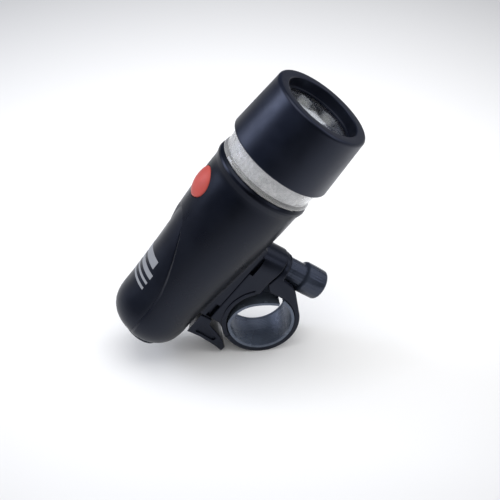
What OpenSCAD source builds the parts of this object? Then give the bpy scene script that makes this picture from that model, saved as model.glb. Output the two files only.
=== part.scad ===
// Bicycle headlight on a handlebar clamp. Millimetres, Z up.
// The origin is the middle of the clamp's bore, and the bore runs along Y.
// The torch points forward along X and is tilted up by pitch.
// Torch frame: X forward along the torch's axis, zero at the rear rim of the head cap, Z square to it.
// Clamp frame: the same directions, zero at the middle of the bore.

/* [Placing] */
// Angle of the torch above the horizontal
pitch = 53; // [30:1:60]
// Distance along the torch from the bore's middle to the rear rim of the head cap
rim_ahead = 55.9; // [54:0.1:58]
// Height of the foot's sole above the bore's middle
sole_z = 16.7; // [16.3:0.1:18]

/* [Head cap] */
// Length of the cap
cap_len = 23.3; // [22:0.1:28]
// Thickness of the cap over the housing at its rear rim
cap_rear_wall = 2.6; // [2:0.1:4]
// Thickness of the cap over the housing where the front rounding starts
cap_front_wall = 1.3; // [1.1:0.1:2.4]
// Rounding of the front edge
cap_round = 2.2; // [1:0.1:2.4]
// Radius of the opening in the front face
bezel_r = 14; // [13.6:0.1:14.5]
// Depth of the opening down to its step
bezel_depth = 3.8; // [3:0.1:4]
// Radius of the window inside the step
window_r = 13; // [12.4:0.1:13.3]
// Thickness of the step in front of the lens
step_t = 0.6; // [0.5:0.1:1.2]

/* [Clear housing] */
// Length of the clear ring that shows between cap and barrel
ring_len = 8.2; // [7:0.1:9]
// Height of the clear ring above the housing, beside the barrel
ring_base_wall = 0.2; // [0.1:0.05:0.4]
// Height of the clear ring above the housing, beside the cap
ring_top_wall = 0.9; // [0.7:0.1:1.4]
// Wall thickness of the housing
housing_wall = 1.2; // [1:0.1:1.3]
// Thickness of the shoulder at the foot of the ring
shoulder_t = 1.2; // [1:0.1:2]
// Radius of the opening in the shoulder
shoulder_r = 12.4; // [11:0.1:12.6]
// Step from the screw neck up to the part of the housing that the cap screws over
neck_step = 1.8; // [1.7:0.1:2.4]
// Length of the screw neck
neck_len = 6.6; // [6:0.1:6.6]
// Wall thickness of the screw neck
neck_wall = 1.6; // [1.4:0.1:1.8]

/* [Light unit] */
// Thickness of the lens
lens_t = 1.6; // [1:0.1:2]
// Distance from the cap's rear rim to the back of the LED board
board_ahead = 5.5; // [4.5:0.1:6]
// Thickness of the circuit boards
board_t = 1.6; // [1:0.1:1.6]
// Thickness of the reflector's plate and skirt
reflector_wall = 0.8; // [0.6:0.1:1]
// Wall thickness of the reflector's cups
cup_wall = 0.4; // [0.3:0.05:0.4]
// Number of reflector cups and LEDs
cup_count = 5; // [3:1:5]
// Radius of the circle on which the cups stand
cup_ring_r = 7.9; // [7.8:0.1:8]
// Radius of a cup's mouth
cup_mouth_r = 4.4; // [3.8:0.1:4.4]
// Radius of an LED
led_r = 2.5; // [2:0.1:2.5]
// Height of an LED above its board
led_h = 8; // [6:0.1:8.6]
// Wall thickness of the side reflector behind the clear ring
sleeve_wall = 0.6; // [0.4:0.1:0.8]

/* [Barrel] */
// Height of the barrel's front lip above the housing
lip_wall = 1.2; // [0.8:0.1:1.6]
// Length of the bevel from the mouth back to the lip
lip_bevel = 2; // [1:0.1:3]
// Length from the mouth back to where the taper starts
lip_len = 5.6; // [4:0.1:6]
// Height of the barrel above the housing where the taper starts
front_wall = 0.5; // [0.3:0.1:0.7]
// Thickness of the barrel round the battery bore, where the taper ends
rear_wall = 1.65; // [1.6:0.05:2.6]
// Length of the battery bore inside the rounded tail
tail_cover = 4; // [2:0.1:4.5]
// Length of the straight part between taper and rounded tail
tail_straight = 1; // [0.5:0.5:6]
// Length of the rounded tail
tail_len = 13; // [11:0.1:16]
// Roundness of the tail, 2 for an ellipse and more for a squarer one
tail_power = 2.8; // [2.2:0.05:3]
// Radius of the round boss on the tail
tail_boss_r = 7; // [5:0.1:7.5]
// Height of that boss beyond the tail
tail_boss_h = 0.9; // [0.5:0.1:2]
// Distance of that boss below the torch's axis
tail_boss_drop = 2.5; // [0:0.1:3]
// Gap between battery carrier and bore
bore_gap = 0.5; // [0.4:0.05:0.6]

/* [Top panel] */
// Distance from the rounded tail forward to the panel's widest place
panel_ahead = 3; // [2:0.5:6]
// Length from the widest place forward to the tip
panel_len = 35; // [28:0.5:37]
// Half angle that the panel spans round the barrel
panel_angle = 62; // [50:1:65]
// Depth of the panel's pocket in the barrel
panel_depth = 0.9; // [0.6:0.1:1]
// Depth of the panel's face below the barrel's skin
panel_sink = 0.3; // [0.1:0.05:0.4]
// Width of the groove round the panel
panel_groove = 0.3; // [0.15:0.05:0.5]

/* [Button] */
// Distance from the cap's rear rim back to the button's middle
button_back = 22; // [21.9:0.1:22.4]
// Radius of the button
button_r = 5.75; // [5:0.05:5.8]
// Height of the button's crown above the barrel
button_rise = 1.36; // [0.9:0.02:2.4]
// Radius of the button's domed top
button_dome_r = 11.5; // [9:0.5:16]
// Travel of the button
button_stroke = 0.5; // [0.2:0.05:0.5]

/* [Power] */
// Diameter of a cell
cell_d = 10.3; // [10:0.1:10.4]
// Length of a cell with its contact nub
cell_len = 44.5; // [43:0.1:45]
// Distance from the cells out to the carrier's rim
carrier_rim = 0.6; // [0.5:0.05:0.6]
// Room for the switch between the battery carrier and the screw neck's radius
switch_room = 3.1; // [3.1:0.05:3.4]
// Thickness of the carrier's end plates
carrier_plate_t = 2; // [1.5:0.1:2.4]
// Distance from the cap's rear rim back to the carrier's front contact
carrier_back = 17; // [16.6:0.1:17.2]
// Thickness of the contact metal
contact_t = 0.6; // [0.4:0.05:0.7]
// Radius of the contact springs' wire
wire_r = 0.35; // [0.25:0.05:0.4]
// Radius of the front spring at its board
front_coil_r = 5; // [4:0.1:6]
// Radius of the front spring at the carrier
front_tip_r = 2.2; // [1.5:0.1:2.4]
// Length of the tail spring when the torch is closed
tail_coil_len = 8.1; // [6:0.1:9]
// Radius of the tail spring at the tail
tail_coil_r = 7; // [6:0.1:8]
// Radius of the tail spring at the carrier
tail_tip_r = 4.5; // [3.5:0.1:5]

/* [Foot and rail] */
// Width of the foot, the block and the clamp
foot_w = 15.1; // [14.6:0.1:16]
// How far the foot's sole lies inside the barrel's front radius
sole_in = 1; // [0.8:0.1:1.1]
// Front end of the foot, from the bore's middle
foot_front = 26; // [25.6:0.1:28]
// Rear end of the foot, from the bore's middle
foot_rear = -8.1; // [-8.3:0.1:-7.8]
// Width of the rail at its root
rail_root_w = 8.4; // [7.6:0.1:8.8]
// Width of the rail at its top
rail_top_w = 10; // [9:0.1:10.4]
// Height of the rail above the sole
rail_h = 1.5; // [1.2:0.1:1.6]
// Front end of the rail, from the bore's middle
rail_front = 22; // [20:0.1:22.2]
// Rear end of the rail, from the bore's middle
rail_rear = 3.1; // [2.8:0.1:6]

/* [Bracket block] */
// Front end of the screw boss
boss_front = 25.1; // [24.8:0.1:25.4]
// Rear end of the block
block_rear = -8.3; // [-8.4:0.1:-7]
// Angle of the place where band and block meet
root_angle = 151; // [148:0.5:154]
// Width of the slit between boss and ear
slit_gap = 0.25; // [0.15:0.05:0.4]
// Height of the ear's upper face above the bore's middle, beside the ring
ear_top = 7.45; // [7:0.05:8]
// How far the slit sinks from the ring to the front of the boss
slit_sink = 1.9; // [0:0.1:2]
// Width of the flat front between the rounded corners of boss and ear
boss_flat = 1.1; // [0.5:0.1:5]

/* [Latch] */
// Width of the spring tongue
tongue_w = 6.8; // [5:0.1:7]
// Thickness of the spring tongue
tongue_t = 1.2; // [0.8:0.1:1.3]
// Front foot of the tooth, from the bore's middle
tooth_front = -2.3; // [-2.6:0.1:-1.8]
// Rear face of the tooth, from the bore's middle
tooth_rear = -5.4; // [-5.8:0.1:-5]
// Height of the tooth above the rail's top
tooth_h = 0.7; // [0.4:0.05:0.7]
// Depth of the lever's head
lever_depth = 8.3; // [7.8:0.1:8.8]
// Length of the lever below the tongue
lever_len = 12; // [10:0.1:13]
// Thickness of the lever's walls
lever_wall = 1.3; // [0.9:0.1:1.6]

/* [Clamp] */
// Diameter of the handlebar
bar_d = 22.2; // [22:0.1:22.3]
// Thickness of the rubber shim
shim_t = 0.9; // [0.6:0.05:0.9]
// Thickness of the band
band_t = 1.9; // [1.6:0.1:2]
// Thickness of the ear beside the ring
ear_t = 3.25; // [3.1:0.05:3.4]
// Front end of the ear
ear_front = 24.6; // [24.3:0.1:25]

/* [Thumb screw] */
// Distance of the screw's axis ahead of the bore's middle
screw_ahead = 19.7; // [19.5:0.05:19.8]
// Diameter of the screw
screw_d = 4.9; // [4:0.1:5]
// Height of the screw's end above the bore's middle
screw_top = 15.2; // [14:0.1:15.2]
// Radius of the knob's neck
knob_neck_r = 4.4; // [3.8:0.1:4.6]
// Length of the knob's neck
knob_neck_len = 7.1; // [6.5:0.1:8]
// Radius of the knob's head
knob_r = 5.6; // [5.4:0.1:5.8]
// Length of the knob's head
knob_len = 8.7; // [7:0.1:9]
// Number of flutes round the knob
flute_count = 18; // [8:1:20]
// Thickness of the washer
washer_t = 0.6; // [0.4:0.05:0.8]
// Width of the nut across its flats
nut_af = 8; // [7.5:0.1:8]
// Thickness of the nut
nut_t = 4; // [3:0.1:4]

/* [Fits] */
// Radial gap of screwed parts
thread_gap = 0.2; // [0.15:0.05:0.25]
// Gap between faces that meet
face_gap = 0.15; // [0.1:0.05:0.2]
// Gap round sliding parts
slide_gap = 0.15; // [0.1:0.05:0.2]
// Gap round parts that stay clear of each other
clear_gap = 0.3; // [0.25:0.05:0.4]
// Gap of parts that run in each other
running_gap = 0.05; // [0.03:0.01:0.1]

/* [Hidden] */
$fn = 96;
foot_half = foot_w / 2;
cell_r = cell_d / 2;
cell_ring_r = cell_r * 2 / sqrt(3) + 0.2;
carrier_r = cell_ring_r + cell_r + carrier_rim;
bore_r = carrier_r + bore_gap;
rear_r = bore_r + rear_wall;
neck_r = carrier_r + switch_room;
housing_r = neck_r + neck_step;
cap_rear_r = housing_r + cap_rear_wall;
cap_front_r = housing_r + cap_front_wall;
ring_base_r = housing_r + ring_base_wall;
ring_top_r = housing_r + ring_top_wall;
lip_r = housing_r + lip_wall;
front_r = housing_r + front_wall;
foot_drop = front_r - sole_in;
axis_rise = sole_z + foot_drop;
mouth_x = -ring_len - face_gap;
neck_end_x = -ring_len - neck_len;
neck_in_r = neck_r - neck_wall;
housing_bore_r = housing_r - housing_wall;
inner_r = housing_bore_r - 0.1;
lens_front_x = cap_len - bezel_depth - step_t;
lens_back_x = lens_front_x - lens_t;
led_board_front_x = board_ahead + board_t;
driver_front_x = -ring_len;
driver_back_x = driver_front_x - board_t;
driver_r = neck_in_r - 0.2;
led_hole_r = led_r + 0.2;
led_base_r = led_r + 0.3;
led_base_h = 1;
cup_floor_x = led_board_front_x + led_base_h + 1;
pin_y = 3;
chamber_r = neck_r + thread_gap;
chamber_end_x = -29;
taper_start_x = mouth_x - lip_len;
groove_mid_x = mouth_x - 1.5;
seal_r = 0.46;
seal_mid_r = chamber_r - 0.08 - seal_r;
groove_r = seal_mid_r - seal_r - 0.08;
groove_w = 2 * seal_r + clear_gap;
nub_h = 0.8;
nub_r = 1.9;
plate_front_x = -carrier_back - contact_t;
cells_front_x = plate_front_x - carrier_plate_t - contact_t;
cells_back_x = cells_front_x - cell_len;
plate_back_x = cells_back_x - contact_t - carrier_plate_t;
front_coil_len = driver_back_x + carrier_back - face_gap;
tail_floor_x = plate_back_x - contact_t - tail_coil_len;
tail_start = -tail_floor_x - tail_cover;
tail_end_x = -tail_start - tail_len;
taper_end = tail_start - tail_straight;
panel_back = tail_start - panel_ahead;
strip_w = 3;
strip_t = 0.4;
strip_out = bore_r + 0.8;
switch_board_z = carrier_r + 0.15;
switch_board_t = 0.6;
switch_board_half = 5.6;
switch_board_len = 10;
switch_h = 1;
switch_top_z = switch_board_z + switch_board_t + switch_h;
plunger_r = 1.2;
plunger_top_z = switch_top_z + button_stroke + 0.2;
flange_out_r = chamber_r - 0.2;
flange_in_r = flange_out_r - 0.45;
flange_r = button_r + 1.1;
top_z = sole_z - clear_gap + 0.05;
rail_top_z = sole_z + rail_h;
tooth_top_z = rail_top_z + slide_gap + tooth_h;
tongue_top_z = top_z - 0.15;
tongue_low_z = tongue_top_z - tongue_t;
tongue_room = 0.4;
foot_window_len = 6;
foot_window_h = 2;
block_window_len = 7.5;
block_window_h = 1.9;
boss_wall = 2.8;
lever_front = foot_rear - 0.8;
bar_r = bar_d / 2;
band_in_r = bar_r + shim_t + 0.05;
band_out_r = band_in_r + band_t;
saddle_r = bar_r + shim_t + clear_gap;
block_low_z = ear_top + slit_gap;
ear_low = ear_top - ear_t;
screw_r = screw_d / 2;
washer_top_z = ear_low - face_gap;
knob_top_z = washer_top_z - washer_t - face_gap;
nut_low_z = block_low_z + 1.3;
knob_clear_r = knob_r + 0.6;
slit_back = band_out_r + 0.5;
boss_round = (foot_w - boss_flat) / 2;
stud_depth = 5;
stud_head_af = screw_d + 2.5;
stud_head_t = 3;
mould_gap = 0.02;
root_face = 0.7;
taper_steps = 14;
tail_steps = 10;

// Places what is drawn in the clamp frame
module in_clamp() {
    rotate([0, -pitch, 0]) children();
}

// Places what is drawn in the torch frame
module in_torch() {
    in_clamp() translate([rim_ahead, 0, axis_rise]) children();
}

// Draws clamp frame shapes inside the torch frame
module from_clamp() {
    translate([-rim_ahead, 0, -axis_rise]) children();
}

// Draws torch frame shapes inside the clamp frame
module from_torch() {
    translate([rim_ahead, 0, axis_rise]) children();
}

// Turns a profile of radius and length round the torch's axis
module lathe() {
    rotate([0, 90, 0]) rotate_extrude(convexity = 8) children();
}

// Cylinder along the torch from x1 to x2
module rod(r, x1, x2) {
    translate([x1, 0, 0]) rotate([0, 90, 0]) cylinder(r = r, h = x2 - x1);
}

// Extrudes a side view of length and height to a width across
module across(w) {
    rotate([90, 0, 0]) linear_extrude(height = w, center = true, convexity = 8) children();
}

// Extrudes a cross-section of width and height along the torch from x1 to x2
module along(x1, x2) {
    translate([x1, 0, 0]) rotate([90, 0, 90]) linear_extrude(height = x2 - x1) children();
}

// Box from one corner to the opposite one
module block(a, b) {
    translate(a) cube(b - a);
}

// Point of a circle round the bore's middle
function on_circle(r, a) = [r * cos(a), r * sin(a)];

// Ring between two radii and two angles, in a side view
module ring_part(r1, r2, a1, a2) {
    reach = 2 * r2;
    difference() {
        intersection() {
            circle(r2);
            polygon(concat([[0, 0]], [for (i = [0:8]) on_circle(reach, a1 + (a2 - a1) * i / 8)]));
        }
        circle(r1);
    }
}

// Coil of wire along X, of one radius at its start and another at its end
module coil(r1, r2, length, turns) {
    steps = 8 * turns;
    sides = 6;
    points = [for (i = [0:steps], k = [0:sides - 1])
        let (a = 360 * i / 8, r = r1 + (r2 - r1) * i / steps + wire_r * cos(360 * k / sides))
        [wire_r + (length - 2 * wire_r) * i / steps + wire_r * sin(360 * k / sides), r * cos(a), r * sin(a)]];
    skin = [for (i = [0:steps - 1], k = [0:sides - 1])
        let (n = (k + 1) % sides)
        each [[sides * i + k, sides * i + n, sides * (i + 1) + n],
              [sides * i + k, sides * (i + 1) + n, sides * (i + 1) + k]]];
    first = [for (k = [0:sides - 1]) sides - 1 - k];
    last = [for (k = [0:sides - 1]) sides * steps + k];
    polyhedron(points, concat([first], skin, [last]));
}

// Barrel radius along the taper, at a share of its length
function taper_r(t) = front_r + (rear_r - front_r) * (3 * t * t - 2 * t * t * t);

// Barrel radius at a distance back from the cap's rear rim
function barrel_r(back) = taper_r((back + taper_start_x) / (taper_end + taper_start_x));

// Point of the latch lever's side view, at a share of its depth and of its length below the tongue
function lever_at(u, v) = [lever_front - u * lever_depth, tongue_low_z - v * lever_len];

// Half outline of the barrel, drawn in by an inset
function barrel_outline(inset) = concat(
    [[0, mouth_x], [ring_base_r + 0.2 - inset, mouth_x], [lip_r - inset, mouth_x - lip_bevel]],
    [for (i = [0:taper_steps])
        let (t = i / taper_steps)
        [taper_r(t) - inset, taper_start_x + (-taper_end - taper_start_x) * t]],
    [for (i = [0:tail_steps - 1])
        let (a = 90 * i / tail_steps)
        [(rear_r - inset) * pow(cos(a), 2 / tail_power),
         -tail_start - (tail_len - inset) * pow(sin(a), 2 / tail_power)]],
    [[0, tail_end_x + inset]]);

// Leaf outline of the top panel as a solid above the axis, widened by a margin
module panel_region(margin) {
    half = (taper_r(1) + 0.1) * sin(panel_angle) + margin;
    reach = 40;
    lap = 0.5;
    linear_extrude(height = reach)
        polygon([for (i = [0:24])
            let (a = -90 + 180 * i / 24)
            [-panel_back + (panel_len + margin) * cos(a), half * sin(a)]]);
    translate([0, 0, -margin / sin(panel_angle)]) along(tail_end_x - 5, lap - panel_back)
        polygon([[0, 0], reach * [sin(panel_angle), cos(panel_angle)], [0, reach],
                 reach * [-sin(panel_angle), cos(panel_angle)]]);
}

// Round boss on the tail, widened by a margin, from behind the tail's end to ahead of it
module tail_boss(margin, behind, ahead) {
    translate([0, 0, -tail_boss_drop]) rod(tail_boss_r + margin, tail_end_x - behind, tail_end_x + ahead);
}

// Dovetail cross-section of the rail, widened by a gap
module dovetail(gap) {
    root = rail_root_w / 2 + gap;
    top = rail_top_w / 2 + gap;
    polygon([[-root, top_z - gap], [root, top_z - gap], [root, sole_z], [top, rail_top_z + gap],
             [-top, rail_top_z + gap], [-root, sole_z]]);
}

// Stands what is drawn on the screw's axis, at a height
module on_screw(z) {
    translate([screw_ahead, 0, z]) children();
}

// Line of the slit as points from the ring to a front end, at a height beside the ring
function slit_line(front, top) = [for (i = [0:4])
    let (t = i / 4)
    [slit_back + (front - slit_back) * t, top - slit_sink * pow(t, 1.4)]];

// Upright solid with the plan of block or band: straight sides, and a front rounded at both corners
module plan_to(front) {
    middle = [front - boss_round, foot_half - boss_round];
    bend = [for (i = [0:12]) middle + on_circle(boss_round, 90 - 7.5 * i)];
    mirrored = [for (i = [12:-1:0]) [bend[i][0], -bend[i][1]]];
    reach = 40;
    translate([0, 0, -reach]) linear_extrude(height = 2 * reach)
        polygon(concat([[-reach, -foot_half], [-reach, foot_half]], bend, mirrored));
}

// Hexagon with flats square to the torch
module hexagon(af, h) {
    rotate([0, 0, 30]) cylinder(d = af / cos(30), h = h, $fn = 6);
}

// Stands a child at each cup's middle, looking forward
module at_cups() {
    for (i = [0:cup_count - 1])
        rotate([360 * i / cup_count, 0, 0]) translate([0, 0, cup_ring_r]) children();
}

module head_cap() {
    color([0.09, 0.09, 0.10]) in_torch() difference() {
        lathe() {
            polygon([[0, 0], [cap_rear_r, 0], [cap_front_r, cap_len - cap_round],
                     [cap_front_r - cap_round, cap_len - cap_round], [cap_front_r - cap_round, cap_len],
                     [0, cap_len]]);
            translate([cap_front_r - cap_round, cap_len - cap_round]) circle(cap_round);
        }
        rod(housing_r + thread_gap, -1, lens_front_x);
        rod(window_r, 0, cap_len + 1);
        rod(bezel_r, cap_len - bezel_depth, cap_len + 1);
    }
}

module front_lens() {
    color([0.85, 0.9, 0.95, 0.5]) in_torch() rod(housing_r, lens_back_x, lens_front_x);
}

module clear_housing() {
    floor_x = -ring_len + shoulder_t;
    color([0.85, 0.88, 0.9, 0.5]) in_torch() difference() {
        lathe() polygon([[neck_in_r, neck_end_x], [neck_r, neck_end_x], [neck_r, -ring_len],
                         [ring_base_r, -ring_len], [ring_top_r, 0], [housing_r, 0], [housing_r, lens_back_x],
                         [housing_bore_r, lens_back_x], [housing_bore_r, floor_x], [shoulder_r, floor_x],
                         [shoulder_r, -ring_len], [neck_in_r, -ring_len]]);
        difference() {
            rod(neck_r + 1, groove_mid_x - groove_w / 2, groove_mid_x + groove_w / 2);
            rod(groove_r, groove_mid_x - groove_w, groove_mid_x + groove_w);
        }
    }
}

module reflector() {
    plate_x = lens_back_x - reflector_wall;
    color([0.85, 0.86, 0.88]) in_torch() {
        difference() {
            rod(inner_r, led_board_front_x, lens_back_x);
            rod(inner_r - reflector_wall, led_board_front_x - 1, plate_x);
            at_cups() rod(cup_mouth_r + cup_wall / 2, plate_x - 1, lens_back_x + 1);
        }
        at_cups() lathe()
            polygon([[led_hole_r, cup_floor_x], [led_hole_r + cup_wall, cup_floor_x],
                     [cup_mouth_r + cup_wall, lens_back_x], [cup_mouth_r, lens_back_x]]);
    }
}

module side_reflector() {
    color([0.9, 0.9, 0.92]) in_torch() difference() {
        rod(inner_r, -ring_len + shoulder_t, board_ahead);
        rod(inner_r - sleeve_wall, -ring_len, board_ahead + 1);
    }
}

module leds() {
    color([0.95, 0.95, 0.85]) in_torch() at_cups() {
        rod(led_base_r, led_board_front_x, led_board_front_x + led_base_h);
        rod(led_r, led_board_front_x, led_board_front_x + led_h - led_r);
        translate([led_board_front_x + led_h - led_r, 0, 0]) sphere(led_r);
    }
}

module led_board() {
    color([0.1, 0.35, 0.2]) in_torch() rod(inner_r, board_ahead, led_board_front_x);
}

module board_pins() {
    pin_r = 0.5;
    color([0.8, 0.7, 0.4]) in_torch() for (side = [-1, 1])
        translate([0, side * pin_y, 0]) rod(pin_r, driver_front_x, board_ahead);
}

module driver_board() {
    color([0.1, 0.35, 0.2]) in_torch() rod(driver_r, driver_back_x, driver_front_x);
}

module driver_parts() {
    chip = [1.6, 5, 4];
    part = [1, 2, 3.2];
    color([0.15, 0.15, 0.16]) in_torch() {
        block([driver_front_x, -chip[1] / 2, 2], [driver_front_x + chip[0], chip[1] / 2, 2 + chip[2]]);
        for (side = [-1, 1])
            block([driver_front_x, side * 5 - part[1] / 2, -7],
                  [driver_front_x + part[0], side * 5 + part[1] / 2, -7 + part[2]]);
    }
}

module front_spring() {
    color([0.8, 0.8, 0.8]) in_torch() translate([driver_back_x, 0, 0]) mirror([1, 0, 0])
        coil(front_coil_r, front_tip_r, front_coil_len, 4);
}

module o_ring() {
    color([0.2, 0.2, 0.2]) in_torch() lathe() translate([seal_mid_r, groove_mid_x]) circle(seal_r);
}

module barrel() {
    hole_r = button_r + 0.25;
    ledge_y = switch_board_half - 0.8;
    ledge_half = switch_board_len / 2 + 0.5;
    ledge_reach = 2 * switch_board_half;
    ledge_low = switch_board_z - 0.8;
    window_y = rail_top_w / 2 + slide_gap + 0.7;
    window_x = foot_rear + 0.2;
    color([0.09, 0.09, 0.10]) in_torch() {
        difference() {
            union() {
                lathe() polygon(barrel_outline(0));
                tail_boss(0, tail_boss_h, 4);
                from_clamp() block([foot_rear, -foot_half, sole_z], [foot_front, foot_half, axis_rise - 8]);
            }
            rod(chamber_r, chamber_end_x, mouth_x + 1);
            rod(bore_r, tail_floor_x, mouth_x);
            translate([-button_back, 0, 8]) cylinder(r = hole_r, h = 16);
            intersection() {
                difference() {
                    lathe() polygon(barrel_outline(-1));
                    lathe() polygon(barrel_outline(panel_depth + 0.03));
                    tail_boss(panel_groove, 5, 5);
                }
                panel_region(panel_groove);
            }
            block([tail_floor_x, 0, -strip_w / 2 - 0.2], [chamber_end_x + 1, strip_out, strip_w / 2 + 0.2]);
            from_clamp() {
                along(foot_rear - 1, rail_front + slide_gap) dovetail(slide_gap);
                block([tooth_rear - tongue_room, -tongue_w / 2 - tongue_room, sole_z - 1],
                      [tooth_front + tongue_room, tongue_w / 2 + tongue_room, tooth_top_z + tongue_room]);
                for (side = [-1, 1])
                    block([window_x, side > 0 ? window_y : -foot_half - 1, sole_z - 1],
                          [window_x + foot_window_len, side > 0 ? foot_half + 1 : -window_y,
                           sole_z + foot_window_h]);
            }
        }
        for (side = [-1, 1])
            intersection() {
                block([-button_back - ledge_half, side > 0 ? ledge_y : -ledge_reach, ledge_low],
                      [-button_back + ledge_half, side > 0 ? ledge_reach : -ledge_y, switch_board_z]);
                rod(chamber_r + 0.5, chamber_end_x, mouth_x);
            }
    }
}

module top_panel() {
    color([0.12, 0.12, 0.13]) in_torch() intersection() {
        difference() {
            lathe() polygon(barrel_outline(panel_sink));
            lathe() polygon(barrel_outline(panel_depth));
            tail_boss(2 * panel_groove, 5, 6);
        }
        panel_region(0);
    }
}

module button() {
    button_top = barrel_r(button_back) + button_rise;
    color([0.84, 0.26, 0.23]) in_torch() {
        difference() {
            intersection() {
                translate([-button_back, 0, 10]) cylinder(r = button_r, h = 12);
                translate([-button_back, 0, button_top - button_dome_r]) sphere(button_dome_r);
            }
            rod(flange_in_r, -button_back - 10, -button_back + 10);
        }
        intersection() {
            translate([-button_back, 0, 8]) cylinder(r = flange_r, h = 10);
            difference() {
                rod(flange_out_r, -button_back - 10, -button_back + 10);
                rod(flange_in_r, -button_back - 11, -button_back + 11);
            }
        }
        translate([-button_back, 0, plunger_top_z]) cylinder(r = 1.6, h = flange_out_r - plunger_top_z);
    }
}

module switch_plunger() {
    plunger_low = switch_board_z + switch_board_t + button_stroke + 0.1;
    color([0.2, 0.2, 0.2]) in_torch() translate([-button_back, 0, plunger_low])
        cylinder(r = plunger_r, h = plunger_top_z - plunger_low);
}

module switch() {
    half = 2.25;
    low = switch_board_z + switch_board_t;
    color([0.75, 0.76, 0.78]) in_torch() difference() {
        block([-button_back - half, -half, low], [-button_back + half, half, switch_top_z]);
        translate([-button_back, 0, low - 1]) cylinder(r = plunger_r + running_gap, h = 4);
    }
}

module switch_board() {
    color([0.1, 0.35, 0.2]) in_torch()
        block([-button_back - switch_board_len / 2, -switch_board_half, switch_board_z],
              [-button_back + switch_board_len / 2, switch_board_half, switch_board_z + switch_board_t]);
}

module battery_carrier() {
    rib_w = 5;
    rib_in = 8.8;
    rib_out = carrier_r - 0.6;
    color([0.15, 0.15, 0.16]) in_torch() {
        rod(carrier_r, plate_front_x - carrier_plate_t, plate_front_x);
        rod(carrier_r, plate_back_x, plate_back_x + carrier_plate_t);
        for (i = [0:2])
            rotate([120 * i + 60, 0, 0])
                block([plate_back_x + 0.5, -rib_w / 2, rib_in], [plate_front_x - 0.5, rib_w / 2, rib_out]);
    }
}

module cells() {
    color([0.3, 0.45, 0.6]) in_torch() for (i = [0:2])
        rotate([120 * i, 0, 0]) translate([0, 0, cell_ring_r]) {
            rod(cell_r, cells_back_x, cells_front_x - nub_h);
            rod(nub_r, cells_back_x, cells_front_x);
        }
}

module carrier_contacts() {
    pad_r = 3;
    color([0.8, 0.8, 0.8]) in_torch() {
        rod(pad_r, plate_front_x, plate_front_x + contact_t);
        rod(pad_r + 3, plate_back_x - contact_t, plate_back_x);
        for (i = [0:2])
            rotate([120 * i, 0, 0]) translate([0, 0, cell_ring_r]) {
                rod(pad_r, cells_front_x, cells_front_x + contact_t);
                rod(pad_r, cells_back_x - contact_t, cells_back_x);
            }
    }
}

module tail_spring() {
    color([0.8, 0.8, 0.8]) in_torch() translate([tail_floor_x, 0, 0])
        coil(tail_coil_r, tail_tip_r, tail_coil_len, 4);
}

module contact_strip() {
    color([0.8, 0.7, 0.4]) in_torch()
        block([tail_floor_x, strip_out - strip_t, -strip_w / 2], [chamber_end_x, strip_out, strip_w / 2]);
}

module bracket_block() {
    wall_x = boss_front - boss_wall;
    front_top = axis_rise - front_r + 0.2;
    window_low = sole_z - block_window_h;
    bed_low = tongue_low_z - 1.7;
    window_y = rail_top_w / 2 + 0.8;
    arch_r = saddle_r + 1.5;
    color([0.07, 0.07, 0.08]) in_clamp() difference() {
        union() {
            intersection() {
                across(foot_w + 1)
                    polygon(concat([[boss_front, front_top], [wall_x, front_top], [wall_x, top_z],
                                    [block_rear, top_z], [block_rear - 0.1, 12.2], on_circle(arch_r, root_angle),
                                    on_circle(saddle_r - 1, root_angle), [0, block_low_z]],
                                   slit_line(boss_front, block_low_z)));
                plan_to(boss_front);
            }
            along(rail_rear, rail_front) dovetail(0);
        }
        across(foot_w + 2) circle(saddle_r);
        block([-20, -tongue_w / 2 - tongue_room, bed_low],
              [rail_rear, tongue_w / 2 + tongue_room, top_z + 1]);
        for (side = [-1, 1])
            block([wall_x - block_window_len, side > 0 ? window_y : -foot_half - 1, window_low],
                  [wall_x, side > 0 ? foot_half + 1 : -window_y, top_z + 1]);
        on_screw(0) cylinder(r = screw_r + clear_gap, h = screw_top + 0.4);
        on_screw(nut_low_z - mould_gap) hexagon(nut_af + 2 * mould_gap, nut_t + 2 * mould_gap);
    }
}

module latch_lever() {
    tongue_front = rail_rear - face_gap;
    tongue_back = lever_front - 1;
    tooth_slope = 1.6;
    head_top = axis_rise - rear_r + 3;
    lever_w = foot_w - 0.4;
    web = 3;
    wall = [lever_wall, 0];
    color([0.07, 0.07, 0.08]) in_clamp() {
        across(tongue_w)
            polygon([[tongue_back, tongue_low_z], [tongue_front, tongue_low_z], [tongue_front, tongue_top_z],
                     [tooth_front, tongue_top_z], [tooth_front - tooth_slope, tooth_top_z],
                     [tooth_rear, tooth_top_z], [tooth_rear, tongue_top_z], [tongue_back, tongue_top_z]]);
        difference() {
            across(lever_w)
                polygon([[lever_front, head_top], lever_at(0, 0), lever_at(0.24, 0.04), lever_at(0.35, 0.2),
                         lever_at(0.57, 0.59), lever_at(0.71, 0.76), lever_at(0.96, 0.96), lever_at(1.05, 1),
                         lever_at(1.17, 1), lever_at(1.23, 0.97), lever_at(1.11, 0.73), lever_at(1.05, 0.43),
                         lever_at(1, 0.03), [lever_front - 1.05 * lever_depth, head_top]]);
            for (side = [-1, 1])
                translate([0, side * (web + lever_w) / 2, 0]) across(lever_w)
                    polygon([lever_at(0.24, -0.19) - wall, lever_at(0.35, 0.22) - wall,
                             lever_at(0.57, 0.53) - wall, lever_at(1.05, 0.49) + wall,
                             lever_at(1, 0.03) + wall, lever_at(1.04, -0.19) + wall]);
            from_torch() rod(rear_r + 0.7, tail_end_x, -rim_ahead);
        }
    }
}

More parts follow.
